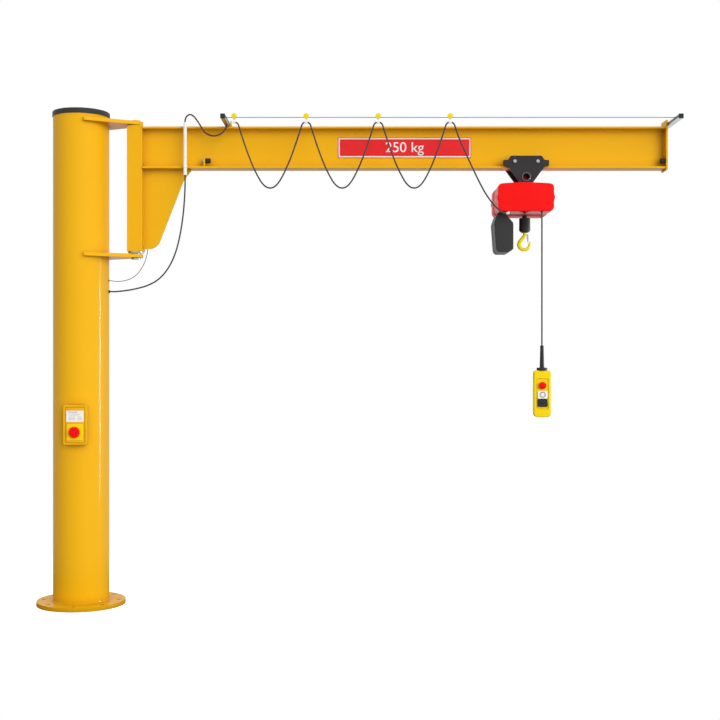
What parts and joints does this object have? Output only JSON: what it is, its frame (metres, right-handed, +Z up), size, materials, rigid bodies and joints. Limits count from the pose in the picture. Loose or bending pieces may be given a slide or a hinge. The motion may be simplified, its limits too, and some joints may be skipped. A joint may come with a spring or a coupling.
{
  "type": "jib crane",
  "caption": "Column-mounted slewing jib crane with an I-beam arm, a push trolley, an electric chain hoist, festoon cable and a hanging push-button control.",
  "frame": {"origin": "centre of the base flange's underside, on the floor", "axes": "+X along the jib at rest, +Y to the rear, +Z up"},
  "size_m": [3.7319, 0.561, 2.891],
  "materials": {
    "column_paint": "satin golden yellow coating",
    "dark_plastic": "dark grey moulded plastic",
    "zinc_steel": "zinc-plated steel",
    "signal_plastic": "signal yellow plastic",
    "red_plastic": "red moulded plastic",
    "black_rubber": "black rubber",
    "cable_sheath": "dark grey cable sheath",
    "black_plastic": "black plastic",
    "wire_steel": "bright steel",
    "white_plastic": "white plastic",
    "trolley_paint": "dark grey coating",
    "hoist_paint": "red powder coating",
    "hook_paint": "yellow enamel on forged steel"
  },
  "bodies": {
    "column": {"base_flange": "column_paint", "column_tube": "column_paint", "column_cap": "dark_plastic", "bracket_plates": "column_paint", "pivot_pins": "zinc_steel", "switch_box": "column_paint", "switch_plate": "signal_plastic", "column_glands": "black_rubber", "supply_cable": "cable_sheath", "earth_wire": "cable_sheath"},
    "jib": {"pivot_post": "column_paint", "post_foot": "zinc_steel", "jib_beam": "column_paint", "gusset_plate": "column_paint", "beam_end_plate": "column_paint", "end_stops": "column_paint", "stop_buffers": "black_rubber", "wire_arms": "zinc_steel", "arm_end_caps": "black_plastic", "guide_wire": "wire_steel", "fixed_hanger": "wire_steel", "conduit": "white_plastic", "riser_cable": "cable_sheath", "festoon_cable": "cable_sheath"},
    "trolley": {"trolley_plates": "trolley_paint", "trolley_axles": "zinc_steel", "suspension_tube": "trolley_paint", "hoist_lug": "hoist_paint", "hoist_housing": "hoist_paint", "hoist_covers": "hoist_paint", "chain_box": "dark_plastic", "hoist_glands": "white_plastic", "pendant_cable": "cable_sheath", "pendant_sleeve": "black_rubber", "pendant_body": "signal_plastic"},
    "wheel_front_inner": {"wheel_1": "zinc_steel"},
    "wheel_front_outer": {"wheel_2": "zinc_steel"},
    "wheel_rear_inner": {"wheel_3": "zinc_steel"},
    "wheel_rear_outer": {"wheel_4": "zinc_steel"},
    "hanger_1": {"cable_hanger_1": "wire_steel"},
    "hanger_2": {"cable_hanger_2": "wire_steel"},
    "hanger_3": {"cable_hanger_3": "wire_steel"},
    "roller_1": {"cable_roller_1": "signal_plastic"},
    "roller_2": {"cable_roller_2": "signal_plastic"},
    "roller_3": {"cable_roller_3": "signal_plastic"},
    "hook_block": {"load_chain": "zinc_steel", "hook_block": "black_rubber"},
    "hook": {"hook": "hook_paint"},
    "latch": {"hook_latch": "zinc_steel"},
    "knob": {"rotary_knob": "red_plastic"},
    "stop_button": {"stop_button": "red_plastic"},
    "raise_button": {"raise_button": "white_plastic"},
    "lower_button": {"lower_button": "black_plastic"}
  },
  "joints": [
    {"name": "jib_slew", "type": "hinge", "parent": "column", "child": "jib", "pos_m": [0.322, 0, 2.057], "axis": [0, 0, 1], "range_deg": [-127, 135], "deforming": ["supply_cable", "earth_wire"]},
    {"name": "trolley_travel", "type": "slide", "parent": "jib", "child": "trolley", "axis": [1, 0, 0], "range_m": [-1.7, 0.645], "deforming": ["festoon_cable"]},
    {"name": "wheel_front_inner_roll", "type": "hinge", "parent": "trolley", "child": "wheel_front_inner", "pos_m": [2.545, -0.045, 2.5938], "axis": [0, 1, 0], "continuous": true},
    {"name": "wheel_front_outer_roll", "type": "hinge", "parent": "trolley", "child": "wheel_front_outer", "pos_m": [2.679, -0.045, 2.5938], "axis": [0, 1, 0], "continuous": true},
    {"name": "wheel_rear_inner_roll", "type": "hinge", "parent": "trolley", "child": "wheel_rear_inner", "pos_m": [2.545, 0.045, 2.5938], "axis": [0, 1, 0], "continuous": true},
    {"name": "wheel_rear_outer_roll", "type": "hinge", "parent": "trolley", "child": "wheel_rear_outer", "pos_m": [2.679, 0.045, 2.5938], "axis": [0, 1, 0], "continuous": true},
    {"name": "hanger_1_slide", "type": "slide", "parent": "jib", "child": "hanger_1", "axis": [1, 0, 0], "range_m": [-0.3733, 0.1423]},
    {"name": "hanger_2_slide", "type": "slide", "parent": "jib", "child": "hanger_2", "axis": [1, 0, 0], "range_m": [-0.7456, 0.2835]},
    {"name": "hanger_3_slide", "type": "slide", "parent": "jib", "child": "hanger_3", "axis": [1, 0, 0], "range_m": [-1.1179, 0.4248]},
    {"name": "roller_1_roll", "type": "hinge", "parent": "hanger_1", "child": "roller_1", "pos_m": [1.334, -0.208, 2.8308], "axis": [0, 1, 0], "continuous": true},
    {"name": "roller_2_roll", "type": "hinge", "parent": "hanger_2", "child": "roller_2", "pos_m": [1.746, -0.208, 2.8308], "axis": [0, 1, 0], "continuous": true},
    {"name": "roller_3_roll", "type": "hinge", "parent": "hanger_3", "child": "roller_3", "pos_m": [2.158, -0.208, 2.8308], "axis": [0, 1, 0], "continuous": true},
    {"name": "hook_lift", "type": "slide", "parent": "trolley", "child": "hook_block", "axis": [0, 0, -1], "range_m": [0, 1.9], "deforming": ["load_chain"]},
    {"name": "hook_swivel", "type": "hinge", "parent": "hook_block", "child": "hook", "pos_m": [2.612, 0, 2.184], "axis": [0, 0, 1], "continuous": true},
    {"name": "latch_open", "type": "hinge", "parent": "hook", "child": "latch", "pos_m": [2.628, 0, 2.171], "axis": [0, 1, 0], "range_deg": [0, 22], "stiffness_Nm_per_rad": 0.05, "springref_deg": -17.19},
    {"name": "main_switch", "type": "hinge", "parent": "column", "child": "knob", "pos_m": [0.011, -0.2, 1.022], "axis": [0, -1, 0], "range_deg": [-90, 0]},
    {"name": "stop_button_press", "type": "slide", "parent": "trolley", "child": "stop_button", "axis": [0, 1, 0], "range_m": [0, 0.003], "stiffness_N_per_m": 600},
    {"name": "raise_button_press", "type": "slide", "parent": "trolley", "child": "raise_button", "axis": [0, 1, 0], "range_m": [0, 0.003], "stiffness_N_per_m": 600},
    {"name": "lower_button_press", "type": "slide", "parent": "trolley", "child": "lower_button", "axis": [0, 1, 0], "range_m": [0, 0.003], "stiffness_N_per_m": 600}
  ],
  "couplings": [
    {"joint": "hanger_1_slide", "follows": "trolley_travel", "ratio": 0.219},
    {"joint": "hanger_2_slide", "follows": "trolley_travel", "ratio": 0.438},
    {"joint": "hanger_3_slide", "follows": "trolley_travel", "ratio": 0.657}
  ]
}
